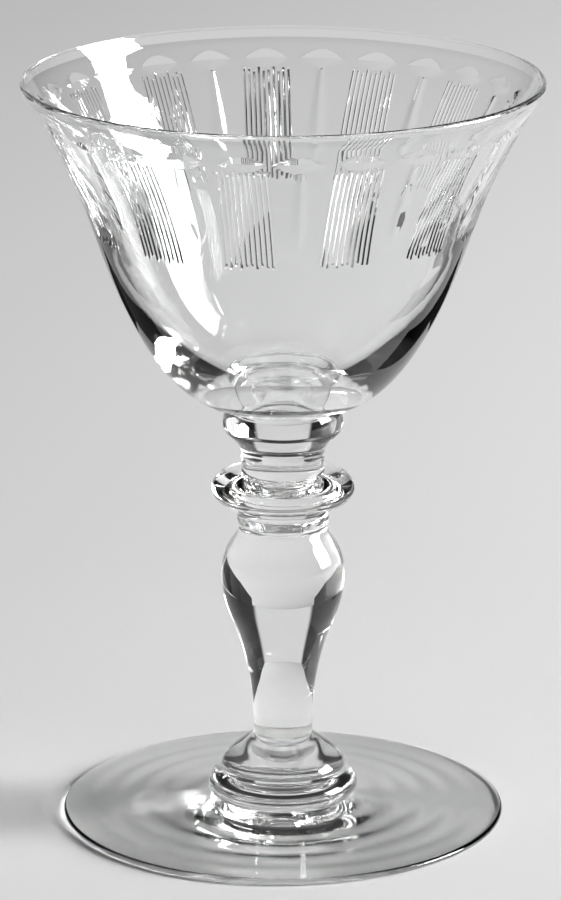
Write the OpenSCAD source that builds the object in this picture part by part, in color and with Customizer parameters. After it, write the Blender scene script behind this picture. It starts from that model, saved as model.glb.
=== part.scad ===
// Stemmed cocktail glass, blown and cut by hand.
// Seven gathers of clear glass are stacked on one axis and meet face to face:
// foot, base knop, baluster stem, wafer, ring knop, merese and bowl.
// Millimetres, +Z up, origin at the centre of the face that the foot rests on.

/* [Overall] */
// Height of the whole glass
glass_h = 120; // [112:1:130]
// Outside diameter of the rim
rim_d = 81.7; // [76:0.1:90]
// Diameter of the foot
foot_d = 70.5; // [60:0.1:80]

/* [Bowl] */
// Outside diameter where the side of the bowl runs straightest
belly_d = 58.5; // [55:0.1:62]
// Height of that place above the bottom of the bowl
belly_h = 27.6; // [24:0.1:30]
// How far the side leans out there, sideways for each unit of height
belly_lean = 0.34; // [0.28:0.01:0.4]
// How far the side leans out at the rim
rim_lean = 0.53; // [0.45:0.01:0.65]
// Thickness of the wall at the rim
rim_t = 1.1; // [0.9:0.1:1.6]
// Thickness of the wall at the belly, measured sideways
belly_t = 1.9; // [1.6:0.1:2.2]
// How far the inside leans out at the belly
cavity_lean = 0.38; // [0.34:0.01:0.42]
// Glass left under the inside of the bowl
bowl_floor_t = 4.8; // [4.2:0.1:5.4]
// Diameter of the flat floor inside the bowl
bowl_floor_d = 21; // [19:0.1:22]
// Diameter of the joint between bowl and merese
bowl_joint_d = 17.2; // [14:0.1:18]

/* [Cut band] */
// Groups of line cuts round the bowl
group_count = 13; // [11:1:14]
// Lines in one group
line_count = 10; // [8:1:10]
// Distance from one line to the next
line_pitch = 0.8; // [0.74:0.01:0.84]
// Width of a line
line_w = 0.4; // [0.34:0.01:0.5]
// Depth of a line
line_depth = 0.18; // [0.14:0.01:0.24]
// Length of a line
line_long = 18.2; // [16:0.1:18.8]
// Height from the middle of the lines to the rim
line_drop = 14.8; // [14.6:0.1:16]
// Diameter of the wheel that cuts lines and the upper part of leaves
wheel_d = 160; // [150:1:170]
// Length of an olive
olive_long = 7.2; // [6.8:0.1:7.8]
// Height of an olive
olive_tall = 2.7; // [2.2:0.1:3]
// Height from the middle of the olives to the rim
olive_drop = 5; // [4.6:0.1:5.4]
// Width of a leaf at its widest
leaf_w = 2.8; // [2.2:0.1:3]
// Depth of a leaf at its widest
leaf_depth = 0.3; // [0.24:0.01:0.36]
// Height from the widest part of the leaves to the rim
leaf_drop = 15.2; // [14.6:0.1:15.8]
// Length of a leaf above its widest part
leaf_rise = 9.4; // [8.8:0.1:9.8]
// Diameter of the wheel that cuts the lower part of leaves
leaf_wheel_d = 54; // [46:1:60]

/* [Merese] */
// Height of the merese and the neck under it
merese_h = 9.6; // [8.6:0.1:11]
// Largest diameter of the merese
merese_d = 19.1; // [18.4:0.1:22]
// Height of its largest diameter below its upper joint
merese_drop = 2.9; // [2:0.1:3.6]
// Diameter of the neck
neck_d = 13.2; // [11.5:0.1:14]
// Height of the straight part of the neck
neck_h = 1.8; // [1:0.1:2.4]

/* [Ring knop] */
// Height of the ring knop with its two necks
ring_h = 7.9; // [7:0.1:9]
// Largest diameter of the ring
ring_d = 22.7; // [20:0.1:26]
// Height of the neck above the ring
ring_neck_h = 1; // [0.7:0.1:1.3]
// Width of the ledge between the ring and that neck
ring_ledge_w = 0.6; // [0.4:0.1:0.9]
// Height of the ring above its largest diameter
ring_over_h = 3; // [2.6:0.1:3.4]
// Height of the ring below its largest diameter
ring_under_h = 2.1; // [1.7:0.1:2.5]
// How far its round side stands out past its underside
ring_side_w = 2.8; // [2.4:0.1:3]
// Height of the underside, which slopes down to the lower neck
ring_slope_h = 0.5; // [0.3:0.1:0.7]

/* [Wafer] */
// Thickness of the wafer
wafer_h = 2.1; // [1.6:0.1:3]
// Diameter of the wafer
wafer_d = 14.6; // [14.2:0.1:16]
// Diameter of the joints at its two faces
wafer_joint_d = 13.8; // [12:0.1:14]

/* [Baluster stem] */
// Height of the baluster stem
baluster_h = 34.6; // [32:0.1:40]
// Largest diameter of the baluster
baluster_d = 19.6; // [17:0.1:22]
// Height of its largest diameter below its upper joint
baluster_drop = 7.5; // [6.5:0.1:9]
// Diameter of the stem at its lower joint
stem_d = 9.4; // [8:0.1:10.4]

/* [Base knop] */
// Height of the base knop
base_knop_h = 10.1; // [9.4:0.1:12]
// Largest diameter of its dome
dome_d = 19.9; // [18:0.1:21]
// Height of the dome
dome_h = 5.4; // [4.6:0.1:6]
// Diameter of the crease between dome and cushion
crease_d = 19; // [17:0.1:19.5]
// Largest diameter of its cushion
cushion_d = 23.8; // [22.4:0.1:26]
// Height of the cushion
cushion_h = 3.8; // [3.4:0.1:4.2]
// Diameter of the joint between base knop and foot
foot_joint_d = 22; // [20:0.1:22.4]

/* [Foot] */
// Height of the top of the foot at the base knop
foot_h = 3.1; // [2.8:0.1:3.6]
// Thickness of the foot at its edge
foot_edge_t = 1; // [0.8:0.1:1.4]
// Width of the flat ring that the foot rests on
rest_w = 3.4; // [2:0.1:5]
// Depth of the hollow under the foot
hollow_h = 0.2; // [0.1:0.1:0.5]

/* [Hidden] */
glass_colour = "gainsboro";
$fn = 120;

// Steps along a long curve, along a short one and along the cut part of the bowl
long_steps = 14;
short_steps = 6;
band_steps = 5;

// Heights of the joints, from the table up
base_knop_z = foot_h;
baluster_z = base_knop_z + base_knop_h;
wafer_z = baluster_z + baluster_h;
ring_z = wafer_z + wafer_h;
merese_z = ring_z + ring_h;
bowl_z = merese_z + merese_h;

// Point on a cubic curve with two handles
function cubic(a, b, c, d, t) =
    pow(1 - t, 3) * a + 3 * pow(1 - t, 2) * t * b + 3 * (1 - t) * t * t * c + pow(t, 3) * d;

// Points of a cubic curve, its first and last included
function curve(a, b, c, d, steps) = [for (i = [0 : steps]) cubic(a, b, c, d, i / steps)];

// S curve from a to b that is upright at both ends; each fullness is a share of its height
function sway(a, b, fullness_a, fullness_b, steps) =
    let (rise = [0, b[1] - a[1]])
    curve(a, a + fullness_a * rise, b - fullness_b * rise, b, steps);

// Quarter of an ellipse from a to b that leaves a sideways and reaches b upright
function level_to_upright(a, b) =
    [for (i = [0 : short_steps])
        let (turn = 90 * i / short_steps)
        [a[0] + (b[0] - a[0]) * sin(turn), b[1] + (a[1] - b[1]) * cos(turn)]];

// Quarter of an ellipse from a to b that leaves a upright and reaches b sideways
function upright_to_level(a, b) =
    [for (i = [0 : short_steps])
        let (turn = 90 * i / short_steps)
        [b[0] + (a[0] - b[0]) * cos(turn), a[1] + (b[1] - a[1]) * sin(turn)]];

// A stretch of the given length along a wall with the given lean
function along(lean, length) = length * [lean, 1] / norm([lean, 1]);

// Solid of revolution from an outline that runs from bottom to top outside the axis
module turned(outline) {
    color(glass_colour)
        rotate_extrude()
            polygon(concat([[0, outline[0][1]]], outline, [[0, outline[len(outline) - 1][1]]]));
}

// Foot: a thin disc that rises towards the knop and rests on a flat ring round a shallow hollow
foot_r = foot_d / 2;
foot_round = foot_edge_t / 2;
foot_rest_r = foot_r - foot_round;
foot_edge_slope = 0.06;
foot_joint_slope = 0.17;

module foot() {
    edge_top = [foot_rest_r, foot_edge_t];
    joint = [foot_joint_d / 2, foot_h];
    third = (edge_top[0] - joint[0]) / 3;
    hollow_edge = [foot_rest_r - rest_w, 0];
    hollow_top = [0, hollow_h];
    color(glass_colour)
        rotate_extrude()
            polygon(concat(
                curve(hollow_top, [hollow_edge[0] / 3, hollow_h], [hollow_edge[0] * 2 / 3, 0], hollow_edge,
                    short_steps),
                level_to_upright([foot_rest_r, 0], [foot_r, foot_round]),
                upright_to_level([foot_r, foot_round], edge_top),
                curve(edge_top, edge_top + third * [-1, foot_edge_slope],
                    joint + third * [1, -foot_joint_slope], joint, long_steps),
                [[0, foot_h]]));
}

// Base knop: a cushion on the foot and a dome above it, with a crease between them
cushion_peak = 0.42;
dome_fullness = 0.35;
dome_slope = 0.25;

module base_knop() {
    crease_z = base_knop_z + cushion_h;
    dome_edge_z = base_knop_z + base_knop_h - dome_h;
    cushion_side = [cushion_d / 2, base_knop_z + cushion_peak * cushion_h];
    dome_side = [dome_d / 2, dome_edge_z];
    dome_top = [stem_d / 2, baluster_z];
    dome_rise = dome_top - dome_side;
    turned(concat(
        level_to_upright([foot_joint_d / 2, base_knop_z], cushion_side),
        upright_to_level(cushion_side, [crease_d / 2, crease_z]),
        curve(dome_side, dome_side + dome_fullness * [0, dome_rise[1]],
            dome_top - dome_slope * dome_rise, dome_top, long_steps)));
}

// Baluster stem: swells below its shoulder and runs down to a slender round stem
baluster_fullness = 0.35;
stem_fullness = 0.65;
shoulder_fullness = 0.54;
shoulder_slope = 0.15;

module baluster_stem() {
    swell = [baluster_d / 2, wafer_z - baluster_drop];
    shoulder = [wafer_joint_d / 2, wafer_z];
    turned(concat(
        sway([stem_d / 2, baluster_z], swell, stem_fullness, baluster_fullness, long_steps),
        sway(swell, shoulder, shoulder_fullness, shoulder_slope, long_steps)));
}

// Wafer: a flat round disc between baluster and ring knop
module stem_wafer() {
    side = wafer_d / 2;
    joint = wafer_joint_d / 2;
    middle = wafer_z + wafer_h / 2;
    turned(concat(
        level_to_upright([joint, wafer_z], [side, middle]),
        upright_to_level([side, middle], [joint, ring_z])));
}

// Ring knop: a round ring between two short necks
module ring_knop() {
    over_z = merese_z - ring_neck_h;
    side = [ring_d / 2, over_z - ring_over_h];
    under = [side[0] - ring_side_w, side[1] - ring_under_h];
    turned(concat(
        [[wafer_joint_d / 2, ring_z]],
        [[wafer_joint_d / 2, under[1] - ring_slope_h]],
        level_to_upright(under, side),
        upright_to_level(side, [neck_d / 2 + ring_ledge_w, over_z]),
        [[neck_d / 2, over_z]],
        [[neck_d / 2, merese_z]]));
}

// Merese: a round collar under the bowl that runs down into the neck
merese_fullness = 0.37;
neck_fullness = 0.5;

module bowl_merese() {
    neck_top = [neck_d / 2, merese_z + neck_h];
    widest = [merese_d / 2, bowl_z - merese_drop];
    turned(concat(
        [[neck_d / 2, merese_z]],
        sway(neck_top, widest, neck_fullness, merese_fullness, long_steps),
        upright_to_level(widest, [bowl_joint_d / 2, bowl_z])));
}

// Bowl: a bell with a slight flare at the rim, thick at its floor, with a cut band below the rim
rim_round = rim_t / 2;
rim_edge = [rim_d / 2, glass_h - rim_round];
belly = [belly_d / 2, bowl_z + belly_h];
bowl_joint = [bowl_joint_d / 2, bowl_z];
floor_edge = [bowl_floor_d / 2, bowl_z + bowl_floor_t];
rim_inside = rim_edge - [rim_t, 0];
belly_inside = belly - [belly_t, 0];

// Handles of the wall's curves, as shares of the lengths that they span
upper_h = rim_edge[1] - belly[1];
joint_pull = [0.33 * belly[0], 0.03 * belly_h];
belly_down_pull = along(belly_lean, 0.5 * belly_h);
belly_up_pull = along(belly_lean, 0.56 * upper_h);
rim_pull = along(rim_lean, 0.4 * upper_h);
cavity_down_pull = along(cavity_lean, 0.45 * belly_h);
cavity_up_pull = along(cavity_lean, 0.5 * upper_h);

// The inside leaves its flat floor at this angle
floor_turn = 26;
floor_pull = 0.95 * floor_edge[0] * [cos(floor_turn), sin(floor_turn)];

outside = concat(
    curve(bowl_joint, bowl_joint + joint_pull, belly - belly_down_pull, belly, long_steps),
    curve(belly, belly + belly_up_pull, rim_edge - rim_pull, rim_edge, band_steps));
inside = concat(
    curve(floor_edge, floor_edge + floor_pull, belly_inside - cavity_down_pull, belly_inside, long_steps),
    curve(belly_inside, belly_inside + cavity_up_pull, rim_inside - rim_pull, rim_inside, band_steps));

module blown_bowl() {
    rim_arc = [for (i = [1 : short_steps - 1])
        let (turn = 180 * i / short_steps)
        rim_edge + rim_round * [cos(turn) - 1, sin(turn)]];
    rotate_extrude()
        polygon(concat(
            [[0, bowl_z]],
            outside,
            rim_arc,
            [for (i = [len(inside) - 1 : -1 : 0]) inside[i]],
            [[0, floor_edge[1]]]));
}

// Radius of the outer wall at a height
wall_table = [for (p = outside) [p[1], p[0]]];
function wall_r(z) = lookup(z, wall_table);

// Puts a cut on the outer wall: X out of the glass, Z up along the wall as it leans over the given span
module on_wall(z, span) {
    lean = atan2(wall_r(z + span / 2) - wall_r(z - span / 2), span);
    translate([wall_r(z), 0, z])
        rotate([0, lean, 0])
            children();
}

// Wheel of one radius that sinks into the wall and is cut off at two angles from its deepest point
module wheel(r, depth, from, to) {
    translate([r - depth, 0, 0])
        rotate([90, 0, 0])
            rotate_extrude(angle = to - from, start = 180 + from)
                children();
}

// Lines of one group, cut together by a wheel with one ridge for each line
wheel_r = wheel_d / 2;
line_z = glass_h - line_drop;
line_reach = line_long / wheel_r * 90 / PI;
ridge_h = line_depth * line_pitch / line_w;
function ridge_r(across) = wheel_r + across * across / (2 * wall_r(line_z));
module line_group() {
    half = line_count * line_pitch / 2;
    on_wall(line_z, line_long)
        wheel(wheel_r, line_depth, -line_reach, line_reach)
            polygon(concat(
                [[wheel_r - 2 * ridge_h, -half]],
                [for (i = [0 : 2 * line_count])
                    let (across = i * line_pitch / 2 - half)
                    [ridge_r(across) - (i % 2 == 0 ? ridge_h : 0), across]],
                [[wheel_r - 2 * ridge_h, half]]));
}

// Olive: a wide notch straight across the round wall
olive_z = glass_h - olive_drop;
olive_depth = olive_long * olive_long / (8 * wall_r(olive_z));
module olive() {
    on_wall(olive_z, olive_tall)
        rotate([90, 0, 0])
            linear_extrude(2 * olive_long, center = true)
                polygon([[-olive_depth, 0], [olive_depth, -olive_tall], [olive_depth, olive_tall]]);
}

// Leaf: a notch that is widest low down, narrows towards an olive and ends below in a point
leaf_reach = leaf_rise / wheel_r * 180 / PI;
leaf_point_reach = 20;
module leaf() {
    on_wall(glass_h - leaf_drop, leaf_rise) {
        wheel(wheel_r, leaf_depth, -leaf_reach, 0)
            leaf_edge(wheel_r);
        wheel(leaf_wheel_d / 2, leaf_depth, 0, leaf_point_reach)
            leaf_edge(leaf_wheel_d / 2);
    }
}

// Edge of the wheel that cuts a leaf
module leaf_edge(r) {
    back = r - 2 * leaf_depth;
    polygon([[r, 0], [back, leaf_w], [back, -leaf_w]]);
}

// Turn of a group of lines that stands near the back of the glass
back_group = 94.2;

module bowl() {
    step = 360 / group_count;
    color(glass_colour)
        rotate(back_group)
            difference() {
                blown_bowl();
                for (i = [0 : group_count - 1]) {
                    rotate(i * step) line_group();
                    rotate(i * step) olive();
                    rotate((i + 0.5) * step) olive();
                    rotate((i + 0.5) * step) leaf();
                }
            }
}

foot();
base_knop();
baluster_stem();
stem_wafer();
ring_knop();
bowl_merese();
bowl();
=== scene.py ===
"""Stemmed cocktail glass: seven gathers of clear glass on one axis, with a cut band round the bowl."""

import math

import bpy
import numpy as np
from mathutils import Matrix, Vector


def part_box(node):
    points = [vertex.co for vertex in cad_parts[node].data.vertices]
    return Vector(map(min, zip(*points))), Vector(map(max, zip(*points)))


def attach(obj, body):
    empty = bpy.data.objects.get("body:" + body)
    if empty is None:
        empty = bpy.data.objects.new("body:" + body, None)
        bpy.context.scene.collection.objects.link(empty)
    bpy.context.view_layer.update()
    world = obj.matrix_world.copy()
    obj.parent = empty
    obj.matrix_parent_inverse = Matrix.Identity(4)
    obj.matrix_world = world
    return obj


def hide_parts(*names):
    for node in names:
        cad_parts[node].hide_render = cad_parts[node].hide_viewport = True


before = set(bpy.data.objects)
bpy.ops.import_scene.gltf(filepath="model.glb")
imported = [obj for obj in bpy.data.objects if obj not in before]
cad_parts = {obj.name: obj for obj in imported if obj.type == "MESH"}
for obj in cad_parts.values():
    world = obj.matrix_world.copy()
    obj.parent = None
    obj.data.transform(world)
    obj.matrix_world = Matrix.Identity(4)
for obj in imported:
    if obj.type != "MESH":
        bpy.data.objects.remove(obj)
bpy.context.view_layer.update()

MM = 0.001
BODY = "root"


# Places that the frame gives

def low(node):
    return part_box(node)[0].z


def high(node):
    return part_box(node)[1].z


def radius(node):
    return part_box(node)[1].x


# Sizes of the outlines, as in the solids apart from the cavity's lower wall and the foot's faint rings

JOINT_R = {"foot": 11 * MM, "stem": 4.7 * MM, "wafer": 6.9 * MM, "neck": 6.6 * MM, "bowl": 8.6 * MM}

FOOT_EDGE_T = 1 * MM
FOOT_REST_W = 3.4 * MM
FOOT_HOLLOW_H = 0.2 * MM
FOOT_EDGE_SLOPE = 0.06
FOOT_JOINT_SLOPE = 0.17
FOOT_RIPPLE_H = 0.025 * MM
FOOT_RIPPLE_PITCH = 4.6 * MM
FOOT_RIPPLE_START = 16 * MM

DOME_R = 9.95 * MM
DOME_H = 5.4 * MM
CREASE_R = 9.5 * MM
CUSHION_H = 3.8 * MM
CUSHION_PEAK = 0.42
DOME_FULLNESS = 0.35
DOME_SLOPE = 0.25

BALUSTER_DROP = 7.5 * MM
BALUSTER_FULLNESS = 0.35
STEM_FULLNESS = 0.65
SHOULDER_FULLNESS = 0.54
SHOULDER_SLOPE = 0.15

RING_NECK_H = 1 * MM
RING_LEDGE_W = 0.6 * MM
RING_OVER_H = 3 * MM
RING_UNDER_H = 2.1 * MM
RING_SIDE_W = 2.8 * MM
RING_SLOPE_H = 0.5 * MM

MERESE_DROP = 2.9 * MM
MERESE_FULLNESS = 0.37
NECK_FULLNESS = 0.5
NECK_H = 1.8 * MM

RIM_T = 1.1 * MM
BELLY_R = 29.25 * MM
BELLY_H = 27.6 * MM
BELLY_T = 1.9 * MM
BELLY_LEAN = 0.34
RIM_LEAN = 0.53
BOWL_FLOOR_T = 4.6 * MM
BELLY_DOWN_PULL = 0.5
BELLY_UP_PULL = 0.56
RIM_PULL = 0.4
JOINT_PULL = (0.33, 0.03)
FLOOR_R = 10.5 * MM
FLOOR_PULL = 9.975 * MM
FLOOR_TURN = math.radians(32)
CAVITY_LEAN = 0.395
CAVITY_DOWN_PULL = 0.4
CAVITY_UP_PULL = 0.5

# Cut pattern on the outside of the bowl

GROUPS = 13
FIRST_GROUP = math.radians(94.2)
LINES = 10
LINE_PITCH = 0.8 * MM
LINE_W = 0.4 * MM
LINE_DEPTH = 0.18 * MM
LINES_TOP = 113.6 * MM
LINES_BOTTOM = 96.8 * MM
LINES_STAGGER = 0.35 * MM
LINE_END = 0.5 * MM
OLIVE_Z = 115 * MM
OLIVE_LONG = 7.2 * MM
OLIVE_TALL = 2.7 * MM
OLIVE_DEPTH = 0.2 * MM
LEAF_TOP = 113.4 * MM
LEAF_WIDE_Z = 104.8 * MM
LEAF_BOTTOM = 100.5 * MM
LEAF_W = 2.8 * MM
LEAF_TOP_SHARE = 0.45
LEAF_MIN_W = 0.5 * MM
LEAF_DEPTH = 0.3 * MM
LINES_MIN_R = 29 * MM
STAGGER_TURN = 2.4

# Steps along the outlines and round the axis

LONG_STEPS = 48
SHORT_STEPS = 14
LINE_STEPS = 6
TURN_STEPS = 192
FOOT_TOP_STEPS = 160
BOWL_LOW_STEPS = 22
BOWL_HIGH_STEPS = 400
CAVITY_FLOOR_STEPS = 4
CAVITY_LOW_STEPS = 24
CAVITY_HIGH_STEPS = 12
RIM_STEPS = 8
SHARP_ANGLE = math.radians(25)
SAME_PLACE = 1e-7
TINY = 1e-9

# Rows and columns of the cut band

BAND_BOTTOM = 95.6 * MM
LINE_END_ZONE = 1 * MM
LINE_FOOT_ROW = 0.2 * MM
LINE_HEAD_ROW = 0.15 * MM
PLAIN_ROW = 0.9 * MM
LEAF_ROW = 0.45 * MM
OLIVE_ROW = OLIVE_TALL / 18
RIM_ROWS = 7
GAP_COLUMNS = 6
LEAF_COLUMNS = 9

# Stage, in metres

FLOOR_Z = -0.05 * MM
STAGE_HALF = 3
TABLE_BACK = 0.75
TABLE_SIDE = 0.9

# Dark cards: x, y, bottom and top of each upright edge, in mm

LEFT_CARD = [(-80, 30, 0, 33), (-95, 150, 0, 29), (-58, 151, 19, 31)]
RIGHT_CARD = [(70, 25, 0, 33), (95, 150, 0, 29), (58, 151, 19, 31)]

# Window: azimuth from -Y towards +X, elevation, distance and size in metres, power in watts

WINDOW_TURN = math.radians(92)
WINDOW_RISE = math.radians(22)
WINDOW_AWAY = 1.5
WINDOW_SIZE = 0.75
WINDOW_POWER = 56
GLASS_MIDDLE = (0, 0, 60 * MM)

# Room patches: azimuths from +Y towards +X and elevations in degrees, level, softness in degrees

ROOM_LEVEL = 0.015
BACKDROP = ((-21, 21), (-90, 17), 0.67, 2)
CEILING = ((-200, 200), (40, 65), 0.3, 4)

# The wall behind the viewer, in two halves because azimuths end at 180 degrees

FRONT_LEFT = ((-200, -140), (-90, 17), 0.35, 4)
FRONT_RIGHT = ((140, 200), (-90, 17), 0.35, 4)
ROOM_PATCHES = [BACKDROP, CEILING, FRONT_LEFT, FRONT_RIGHT]

# Camera at the photograph's viewing angle

CAMERA_LENS = 210.6
CAMERA_PLACE = (-0.4 * MM, -798.9 * MM, 292.7 * MM)
CAMERA_DIP = math.radians(16.239)


# Outlines: lists of (radius, height) from the bottom of a piece to its top

def curve(a, b, c, d, steps=LONG_STEPS):
    t = np.linspace(0, 1, steps + 1)[:, None]
    a, b, c, d = (np.array(p, float) for p in (a, b, c, d))
    return (1 - t) ** 3 * a + 3 * (1 - t) ** 2 * t * b + 3 * (1 - t) * t ** 2 * c + t ** 3 * d


def sway(a, b, fullness_a, fullness_b):
    """S curve that is upright at both ends."""
    rise = np.array((0, b[1] - a[1]))
    return curve(a, np.array(a) + fullness_a * rise, np.array(b) - fullness_b * rise, b)


def level_to_upright(a, b):
    turn = np.linspace(0, math.pi / 2, SHORT_STEPS + 1)
    return np.stack([a[0] + (b[0] - a[0]) * np.sin(turn), b[1] + (a[1] - b[1]) * np.cos(turn)], 1)


def upright_to_level(a, b):
    turn = np.linspace(0, math.pi / 2, SHORT_STEPS + 1)
    return np.stack([b[0] + (a[0] - b[0]) * np.cos(turn), a[1] + (b[1] - a[1]) * np.sin(turn)], 1)


def line(a, b, steps=LINE_STEPS):
    t = np.linspace(0, 1, steps + 1)[:, None]
    return (1 - t) * np.array(a, float) + t * np.array(b, float)


def along(lean, length):
    return length * np.array((lean, 1)) / math.hypot(lean, 1)


def joined(*stretches):
    """One outline from stretches that follow each other, without repeated points."""
    points = np.vstack(stretches)
    step = np.hypot(*np.diff(points, axis=0).T)
    return points[np.concatenate([[True], step > SAME_PLACE])]


def rippled(top):
    """The foot's upper side with the faint rings that shaping it against a tool leaves."""
    share = np.linspace(0, 1, len(top))
    phase = 2 * math.pi * (top[:, 0] - FOOT_RIPPLE_START) / FOOT_RIPPLE_PITCH
    wave = np.cos(phase) * np.sin(math.pi * share)
    return np.stack([top[:, 0], top[:, 1] + FOOT_RIPPLE_H * wave], 1)


def foot_outline():
    rim = radius("foot")
    rest = rim - FOOT_EDGE_T / 2
    hollow = rest - FOOT_REST_W
    edge_top = np.array((rest, FOOT_EDGE_T))
    joint = np.array((JOINT_R["foot"], high("foot")))
    reach = joint - edge_top
    return joined(
        curve((0, FOOT_HOLLOW_H), (hollow / 3, FOOT_HOLLOW_H), (hollow * 2 / 3, 0), (hollow, 0)),
        line((hollow, 0), (rest, 0)),
        level_to_upright((rest, 0), (rim, FOOT_EDGE_T / 2)),
        upright_to_level((rim, FOOT_EDGE_T / 2), edge_top),
        rippled(curve(edge_top, edge_top + reach[0] / 3 * np.array((1, -FOOT_EDGE_SLOPE)),
                      joint - reach[0] / 3 * np.array((1, -FOOT_JOINT_SLOPE)), joint, FOOT_TOP_STEPS)),
        line(joint, (0, joint[1])),
    )


def base_knop_outline():
    floor, top = low("base_knop"), high("base_knop")
    cushion = (radius("base_knop"), floor + CUSHION_PEAK * CUSHION_H)
    dome = np.array((DOME_R, top - DOME_H))
    dome_top = np.array((JOINT_R["stem"], top))
    rise = dome_top - dome
    return joined(
        line((0, floor), (JOINT_R["foot"], floor)),
        level_to_upright((JOINT_R["foot"], floor), cushion),
        upright_to_level(cushion, (CREASE_R, floor + CUSHION_H)),
        curve(dome, dome + DOME_FULLNESS * np.array((0, rise[1])), dome_top - DOME_SLOPE * rise, dome_top),
        line(dome_top, (0, top)),
    )


def baluster_outline():
    floor, top = low("baluster_stem"), high("baluster_stem")
    swell = (radius("baluster_stem"), top - BALUSTER_DROP)
    return joined(
        line((0, floor), (JOINT_R["stem"], floor)),
        sway((JOINT_R["stem"], floor), swell, STEM_FULLNESS, BALUSTER_FULLNESS),
        sway(swell, (JOINT_R["wafer"], top), SHOULDER_FULLNESS, SHOULDER_SLOPE),
        line((JOINT_R["wafer"], top), (0, top)),
    )


def wafer_outline():
    floor, top = low("stem_wafer"), high("stem_wafer")
    side = (radius("stem_wafer"), (floor + top) / 2)
    return joined(
        line((0, floor), (JOINT_R["wafer"], floor)),
        level_to_upright((JOINT_R["wafer"], floor), side),
        upright_to_level(side, (JOINT_R["wafer"], top)),
        line((JOINT_R["wafer"], top), (0, top)),
    )


def ring_outline():
    floor, top = low("ring_knop"), high("ring_knop")
    over = (JOINT_R["neck"] + RING_LEDGE_W, top - RING_NECK_H)
    side = (radius("ring_knop"), over[1] - RING_OVER_H)
    under = (side[0] - RING_SIDE_W, side[1] - RING_UNDER_H)
    neck = (JOINT_R["wafer"], under[1] - RING_SLOPE_H)
    collar = (JOINT_R["neck"], over[1])
    return joined(
        line((0, floor), (JOINT_R["wafer"], floor)),
        line((JOINT_R["wafer"], floor), neck),
        line(neck, under),
        level_to_upright(under, side),
        upright_to_level(side, over),
        line(over, collar),
        line(collar, (JOINT_R["neck"], top)),
        line((JOINT_R["neck"], top), (0, top)),
    )


def merese_outline():
    floor, top = low("bowl_merese"), high("bowl_merese")
    widest = (radius("bowl_merese"), top - MERESE_DROP)
    neck = (JOINT_R["neck"], floor + NECK_H)
    return joined(
        line((0, floor), (JOINT_R["neck"], floor)),
        line((JOINT_R["neck"], floor), neck),
        sway(neck, widest, NECK_FULLNESS, MERESE_FULLNESS),
        upright_to_level(widest, (JOINT_R["bowl"], top)),
        line((JOINT_R["bowl"], top), (0, top)),
    )


def bowl_outside():
    floor = low("bowl")
    rim = np.array((radius("bowl"), high("bowl") - RIM_T / 2))
    belly = np.array((BELLY_R, floor + BELLY_H))
    upper_h = rim[1] - belly[1]
    joint = np.array((JOINT_R["bowl"], floor))
    joint_pull = np.array((JOINT_PULL[0] * BELLY_R, JOINT_PULL[1] * BELLY_H))
    below = belly - along(BELLY_LEAN, BELLY_DOWN_PULL * BELLY_H)
    above = belly + along(BELLY_LEAN, BELLY_UP_PULL * upper_h)
    return joined(
        curve(joint, joint + joint_pull, below, belly, BOWL_LOW_STEPS),
        curve(belly, above, rim - along(RIM_LEAN, RIM_PULL * upper_h), rim, BOWL_HIGH_STEPS),
    )


def bowl_inside():
    floor = low("bowl")
    middle = np.array((0, floor + BOWL_FLOOR_T))
    corner = np.array((FLOOR_R, middle[1]))
    side = np.array((BELLY_R - BELLY_T, floor + BELLY_H))
    top = np.array((radius("bowl") - RIM_T, high("bowl") - RIM_T / 2))
    upper_h = top[1] - side[1]
    turn = FLOOR_PULL * np.array((math.cos(FLOOR_TURN), math.sin(FLOOR_TURN)))
    below = side - along(CAVITY_LEAN, CAVITY_DOWN_PULL * BELLY_H)
    above = side + along(CAVITY_LEAN, CAVITY_UP_PULL * upper_h)
    return joined(
        line(middle, corner, CAVITY_FLOOR_STEPS),
        curve(corner, corner + turn, below, side, CAVITY_LOW_STEPS),
        curve(side, above, top - along(RIM_LEAN, RIM_PULL * upper_h), top, CAVITY_HIGH_STEPS),
    )


# Meshes

def grid_mesh(name, rings, joint_rows):
    """Closed surface from rings of points. A ring on the axis is one point, and joint_rows are joints."""
    points = []
    starts = []
    for ring in rings:
        starts.append(len(points))
        points.extend(ring)
    faces = []
    slots = []
    for k in range(len(rings) - 1):
        first, second = rings[k], rings[k + 1]
        n = max(len(first), len(second))
        for i in range(n):
            j = (i + 1) % n
            if len(first) == 1:
                face = (starts[k], starts[k + 1] + j, starts[k + 1] + i)
            elif len(second) == 1:
                face = (starts[k] + i, starts[k] + j, starts[k + 1])
            else:
                face = (starts[k] + i, starts[k] + j, starts[k + 1] + j, starts[k + 1] + i)
            faces.append(face)
            slots.append(1 if k in joint_rows else 0)
    mesh = bpy.data.meshes.new(name)
    mesh.from_pydata(points, [], faces)
    mesh.polygons.foreach_set("material_index", slots)
    mesh.polygons.foreach_set("use_smooth", [True] * len(faces))
    mesh.update()
    return mesh


def turned_rings(outline):
    angles = np.linspace(0, 2 * math.pi, TURN_STEPS, endpoint=False)
    rings = []
    for r, z in outline:
        if r < SAME_PLACE:
            rings.append([(0, 0, z)])
        else:
            rings.append([(r * math.cos(a), r * math.sin(a), z) for a in angles])
    return rings


def level_rows(outline, heights):
    """Rows of faces that lie in one of the joint planes."""
    rows = []
    for k in range(len(outline) - 1):
        z = outline[k][1]
        flat = abs(z - outline[k + 1][1]) < TINY
        if flat and any(abs(z - h) < SAME_PLACE for h in heights):
            rows.append(k)
    return set(rows)


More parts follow.
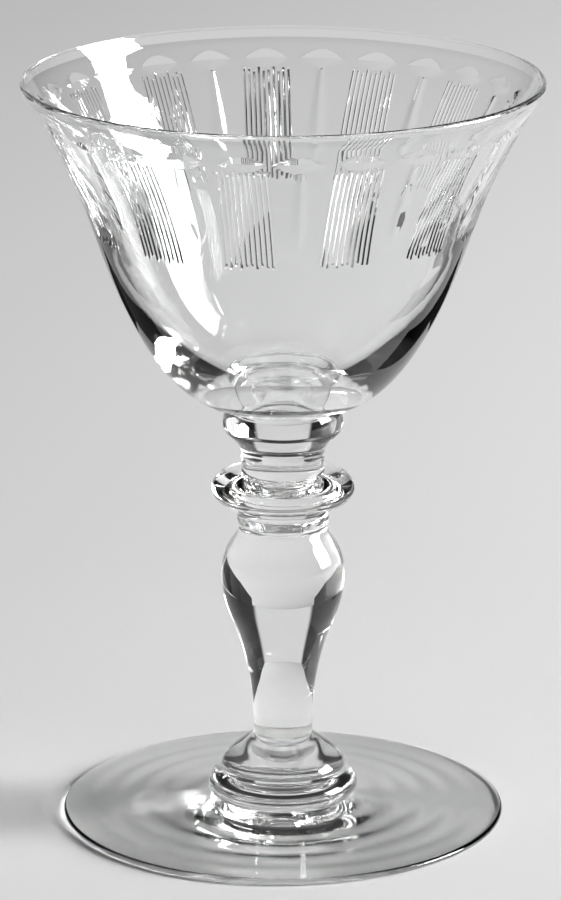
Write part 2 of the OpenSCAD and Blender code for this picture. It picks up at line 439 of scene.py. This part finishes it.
def add_piece(node, mesh):
    mesh.set_sharp_from_angle(angle=SHARP_ANGLE)
    piece = bpy.data.objects.new("glass_" + node, mesh)
    bpy.context.scene.collection.objects.link(piece)
    mesh.materials.append(GLASS)
    mesh.materials.append(JOINT)
    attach(piece, BODY)
    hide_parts(node)


def add_turned(node, outline, joint_heights):
    rings = turned_rings(outline)
    mesh = grid_mesh("glass_" + node, rings, level_rows(outline, joint_heights))
    add_piece(node, mesh)


# Bowl with its cut band

def line_offsets():
    """Sideways places of the edges and bottoms of one group's lines."""
    middles = (np.arange(LINES) - (LINES - 1) / 2) * LINE_PITCH
    return (middles[:, None] + np.array((-LINE_W / 2, 0, LINE_W / 2))).ravel()


def leaf_width(z):
    """Width of a leaf: a point below, widest low down and narrower under the olive."""
    if LEAF_BOTTOM < z <= LEAF_WIDE_Z:
        share = (LEAF_WIDE_Z - z) / (LEAF_WIDE_Z - LEAF_BOTTOM)
        return LEAF_W * (1 - share ** 2)
    if LEAF_WIDE_Z < z < LEAF_TOP:
        share = (z - LEAF_WIDE_Z) / (LEAF_TOP - LEAF_WIDE_Z)
        return LEAF_W * (1 - (1 - LEAF_TOP_SHARE) * share)
    return 0


def sector_places(r, z):
    """Angles of one sector's columns at one height: the lines, a plain gap, the leaf, a plain gap."""
    spread = max(r, LINES_MIN_R)
    pitch = 2 * math.pi / GROUPS
    lines = line_offsets() / spread
    leaf = max(leaf_width(z), LEAF_MIN_W) / spread
    leaf_places = pitch / 2 + leaf / 2 * np.linspace(-1, 1, LEAF_COLUMNS)
    gap = np.linspace(lines[-1], leaf_places[0], GAP_COLUMNS + 2)[1:-1]
    return np.concatenate([lines, gap, leaf_places, pitch - gap[::-1]])


def lens(share):
    """Width of a pointed olive along its length, from 0 at both tips to 1."""
    return np.clip(4 * share * (1 - share), 0, 1)


def v_cut(across, half_width, depth, full_half_width):
    """Depth of a V cut whose walls keep one angle."""
    half_width = np.maximum(half_width, TINY)
    return depth * half_width / full_half_width * np.clip(1 - np.abs(across) / half_width, 0, 1)


def cut_depth(angles, r, z):
    """Depth of the cuts at one height, for the columns of one sector."""
    pitch = 2 * math.pi / GROUPS
    depth = np.zeros(len(angles))
    order = np.arange(3 * LINES)
    bottoms = order % 3 == 1
    stagger = LINES_STAGGER * np.sin(STAGGER_TURN * (order // 3))
    into = np.minimum(LINES_TOP + stagger - z, z - LINES_BOTTOM + stagger) / LINE_END
    depth[:len(order)] = np.where(bottoms, LINE_DEPTH * np.clip(into, 0, 1), 0)
    leaf_half = leaf_width(z) / 2
    if leaf_half > 0:
        depth = np.maximum(depth, v_cut((angles - pitch / 2) * r, leaf_half, LEAF_DEPTH, LEAF_W / 2))
    for middle in (0, pitch / 2, pitch):
        side = (angles - middle) * r
        half = OLIVE_TALL / 2 * lens(side / OLIVE_LONG + 0.5)
        depth = np.maximum(depth, v_cut(z - OLIVE_Z, half, OLIVE_DEPTH, OLIVE_TALL / 2))
    return depth


def band_rows(outline):
    """The outer wall with extra rows where the cuts begin and end."""
    heights = outline[:, 1]
    band = heights > BAND_BOTTOM
    rows = np.concatenate([
        np.arange(BAND_BOTTOM, LINES_BOTTOM + LINE_END_ZONE, LINE_FOOT_ROW),
        np.arange(LINES_BOTTOM + LINE_END_ZONE, LEAF_BOTTOM, PLAIN_ROW),
        np.arange(LEAF_BOTTOM, LEAF_WIDE_Z, LEAF_ROW),
        np.arange(LEAF_WIDE_Z, LINES_TOP - LINE_END_ZONE, PLAIN_ROW),
        np.arange(LINES_TOP - LINE_END_ZONE, OLIVE_Z - OLIVE_TALL / 2, LINE_HEAD_ROW),
        np.arange(OLIVE_Z - OLIVE_TALL / 2, OLIVE_Z, OLIVE_ROW),
        np.arange(OLIVE_Z, OLIVE_Z + OLIVE_TALL / 2, OLIVE_ROW),
        np.linspace(OLIVE_Z + OLIVE_TALL / 2, heights[-1], RIM_ROWS),
    ])
    wall = np.stack([np.interp(rows, heights, outline[:, 0]), rows], 1)
    return np.vstack([outline[~band], wall])


def make_bowl():
    outside = band_rows(bowl_outside())
    inside = bowl_inside()
    rim = outside[-1] + RIM_T / 2 * np.array([
        (math.cos(t) - 1, math.sin(t)) for t in np.linspace(0, math.pi, RIM_STEPS + 1)[1:-1]
    ])
    outline = np.vstack([[(0, low("bowl"))], outside, rim, inside[::-1]])
    slope = np.gradient(outside, axis=0)
    normal = np.stack([slope[:, 1], -slope[:, 0]], 1) / np.hypot(*slope.T)[:, None]
    rings = []
    for k, (r, z) in enumerate(outline):
        if r < SAME_PLACE:
            rings.append([(0, 0, z)])
            continue
        angles = sector_places(r, z)
        out_r = np.full(len(angles), r)
        out_z = np.full(len(angles), z)
        if 1 <= k <= len(outside):
            depth = cut_depth(angles, r, z)
            out_r = out_r - depth * normal[k - 1][0]
            out_z = out_z - depth * normal[k - 1][1]
        ring = []
        for g in range(GROUPS):
            turn = FIRST_GROUP + 2 * math.pi * g / GROUPS + angles
            ring += list(zip(out_r * np.cos(turn), out_r * np.sin(turn), out_z))
        rings.append(ring)
    add_piece("bowl", grid_mesh("glass_bowl", rings, {0}))


# Materials

def new_material(name):
    material = bpy.data.materials.new(name)
    material.use_nodes = True
    return material, material.node_tree.nodes["Principled BSDF"]


def glass_material():
    """Clear glass with faint cords from the blowing and a little handling haze."""
    material, shader = new_material("clear_glass")
    nodes, links = material.node_tree.nodes, material.node_tree.links
    shader.inputs["Base Color"].default_value = (0.985, 0.99, 0.988, 1)
    shader.inputs["Transmission Weight"].default_value = 1
    shader.inputs["IOR"].default_value = 1.52
    place = nodes.new("ShaderNodeTexCoord")
    cords = nodes.new("ShaderNodeTexNoise")
    cords.inputs["Scale"].default_value = 90
    cords.inputs["Detail"].default_value = 2
    links.new(place.outputs["Object"], cords.inputs["Vector"])
    bump = nodes.new("ShaderNodeBump")
    bump.inputs["Strength"].default_value = 0.05
    bump.inputs["Distance"].default_value = 0.4 * MM
    links.new(cords.outputs["Fac"], bump.inputs["Height"])
    links.new(bump.outputs["Normal"], shader.inputs["Normal"])
    haze = nodes.new("ShaderNodeTexNoise")
    haze.inputs["Scale"].default_value = 45
    haze.inputs["Detail"].default_value = 5
    links.new(place.outputs["Object"], haze.inputs["Vector"])
    span = nodes.new("ShaderNodeMapRange")
    span.inputs["From Min"].default_value = 0.35
    span.inputs["From Max"].default_value = 0.75
    span.inputs["To Min"].default_value = 0
    span.inputs["To Max"].default_value = 0.03
    links.new(haze.outputs["Fac"], span.inputs["Value"])
    links.new(span.outputs["Result"], shader.inputs["Roughness"])
    return material


def joint_material():
    """Inside a fused joint there is nothing to see."""
    material, shader = new_material("fused_joint")
    shader.inputs["Alpha"].default_value = 0
    return material


def floor_material():
    material, shader = new_material("pale_floor")
    shader.inputs["Roughness"].default_value = 0.7
    shader.inputs["Base Color"].default_value = (0.69, 0.69, 0.69, 1)
    return material


def dark_material():
    material, shader = new_material("dark_card")
    shader.inputs["Base Color"].default_value = (0.012, 0.012, 0.012, 1)
    shader.inputs["Roughness"].default_value = 0.9
    return material


GLASS = glass_material()
JOINT = joint_material()
PALE = floor_material()
CARD = dark_material()

add_turned("foot", foot_outline(), [high("foot")])
add_turned("base_knop", base_knop_outline(), [low("base_knop"), high("base_knop")])
add_turned("baluster_stem", baluster_outline(), [low("baluster_stem"), high("baluster_stem")])
add_turned("stem_wafer", wafer_outline(), [low("stem_wafer"), high("stem_wafer")])
add_turned("ring_knop", ring_outline(), [low("ring_knop"), high("ring_knop")])
add_turned("bowl_merese", merese_outline(), [low("bowl_merese"), high("bowl_merese")])
make_bowl()


# Stage

def add_stage(name, points, faces, material):
    mesh = bpy.data.meshes.new(name)
    mesh.from_pydata(points, [], faces)
    mesh.materials.append(material)
    piece = bpy.data.objects.new(name, mesh)
    bpy.context.scene.collection.objects.link(piece)
    return piece


def add_floor(name, left, right, front, back):
    corners = [(left, front), (right, front), (right, back), (left, back)]
    return add_stage(name, [(x, y, FLOOR_Z) for x, y in corners], [(0, 1, 2, 3)], PALE)


def add_card(name, places):
    """Upright dark card that darkens the edges of the glass and shows only in it."""
    points = []
    for x, y, bottom, top in places:
        points += [(x * MM, y * MM, bottom * MM), (x * MM, y * MM, top * MM)]
    faces = [(2 * i, 2 * i + 2, 2 * i + 3, 2 * i + 1) for i in range(len(places) - 1)]
    card = add_stage(name, points, faces, CARD)
    card.visible_camera = False
    card.visible_shadow = False
    card.visible_diffuse = False


def add_window(name, place, aim, size, power):
    lamp = bpy.data.lights.new(name, "AREA")
    lamp.shape = "RECTANGLE"
    lamp.size = size
    lamp.size_y = size
    lamp.energy = power
    holder = bpy.data.objects.new(name, lamp)
    bpy.context.scene.collection.objects.link(holder)
    holder.location = place
    holder.rotation_euler = (Vector(aim) - Vector(place)).to_track_quat("-Z", "Y").to_euler()
    holder.visible_camera = False


def window_place():
    level = WINDOW_AWAY * math.cos(WINDOW_RISE)
    height = WINDOW_AWAY * math.sin(WINDOW_RISE)
    return (level * math.sin(WINDOW_TURN), -level * math.cos(WINDOW_TURN), height)


# The camera sees the whole floor, but through the glass the room shows in place of all past the table

add_floor("floor", -TABLE_SIDE, TABLE_SIDE, -STAGE_HALF, TABLE_BACK)
far_floor = add_floor("far_floor", -STAGE_HALF, STAGE_HALF, TABLE_BACK, STAGE_HALF)
far_floor.visible_transmission = False
far_floor.visible_glossy = False
left_floor = add_floor("left_floor", -STAGE_HALF, -TABLE_SIDE, -STAGE_HALF, TABLE_BACK)
left_floor.visible_transmission = False
right_floor = add_floor("right_floor", TABLE_SIDE, STAGE_HALF, -STAGE_HALF, TABLE_BACK)
right_floor.visible_transmission = False

add_card("card_left", LEFT_CARD)
add_card("card_right", RIGHT_CARD)
add_window("window_right", window_place(), GLASS_MIDDLE, WINDOW_SIZE, WINDOW_POWER)


# Room of plain walls of light

def math_node(nodes, links, kind, *values):
    node = nodes.new("ShaderNodeMath")
    node.operation = kind
    for socket, value in zip(node.inputs, values):
        if hasattr(value, "links"):
            links.new(value, socket)
        else:
            socket.default_value = value
    return node.outputs["Value"]


def soft_step(nodes, links, value, start, end):
    node = nodes.new("ShaderNodeMapRange")
    node.interpolation_type = "SMOOTHSTEP"
    node.inputs["From Min"].default_value = start
    node.inputs["From Max"].default_value = end
    links.new(value, node.inputs["Value"])
    return node.outputs["Result"]


def room_patch(nodes, links, colour, azimuth, elevation, azimuths, elevations, level, soft):
    """The room's light so far, with one patch of an even level laid over it."""
    edges = [
        soft_step(nodes, links, azimuth, azimuths[0] - soft, azimuths[0] + soft),
        soft_step(nodes, links, azimuth, azimuths[1] + soft, azimuths[1] - soft),
        soft_step(nodes, links, elevation, elevations[0] - soft, elevations[0] + soft),
        soft_step(nodes, links, elevation, elevations[1] + soft, elevations[1] - soft),
    ]
    share = edges[0]
    for edge in edges[1:]:
        share = math_node(nodes, links, "MULTIPLY", share, edge)
    mix = nodes.new("ShaderNodeMix")
    mix.data_type = "RGBA"
    links.new(share, mix.inputs["Factor"])
    if hasattr(colour, "links"):
        links.new(colour, mix.inputs["A"])
    else:
        mix.inputs["A"].default_value = (colour, colour, colour, 1)
    mix.inputs["B"].default_value = (level, level, level, 1)
    return mix.outputs["Result"]


def make_room():
    world = bpy.data.worlds.new("room")
    bpy.context.scene.world = world
    world.use_nodes = True
    nodes, links = world.node_tree.nodes, world.node_tree.links
    place = nodes.new("ShaderNodeTexCoord")
    parts = nodes.new("ShaderNodeSeparateXYZ")
    links.new(place.outputs["Generated"], parts.inputs["Vector"])
    turn = math_node(nodes, links, "ARCTAN2", parts.outputs["X"], parts.outputs["Y"])
    azimuth = math_node(nodes, links, "DEGREES", turn)
    rise = math_node(nodes, links, "ARCSINE", parts.outputs["Z"])
    elevation = math_node(nodes, links, "DEGREES", rise)
    light = ROOM_LEVEL
    for azimuths, elevations, level, soft in ROOM_PATCHES:
        light = room_patch(nodes, links, light, azimuth, elevation, azimuths, elevations, level, soft)
    links.new(light, nodes["Background"].inputs["Color"])


make_room()


# Camera and light paths

def add_camera():
    camera = bpy.data.cameras.new("camera")
    camera.lens = CAMERA_LENS
    holder = bpy.data.objects.new("camera", camera)
    bpy.context.scene.collection.objects.link(holder)
    holder.location = CAMERA_PLACE
    holder.rotation_euler = (math.pi / 2 - CAMERA_DIP, 0, 0)
    return holder


scene = bpy.context.scene
scene.camera = add_camera()
scene.view_settings.view_transform = "Standard"
scene.cycles.max_bounces = 24
scene.cycles.transmission_bounces = 24
scene.cycles.glossy_bounces = 12
scene.cycles.transparent_max_bounces = 24
scene.cycles.sample_clamp_indirect = 0
scene.cycles.blur_glossy = 0
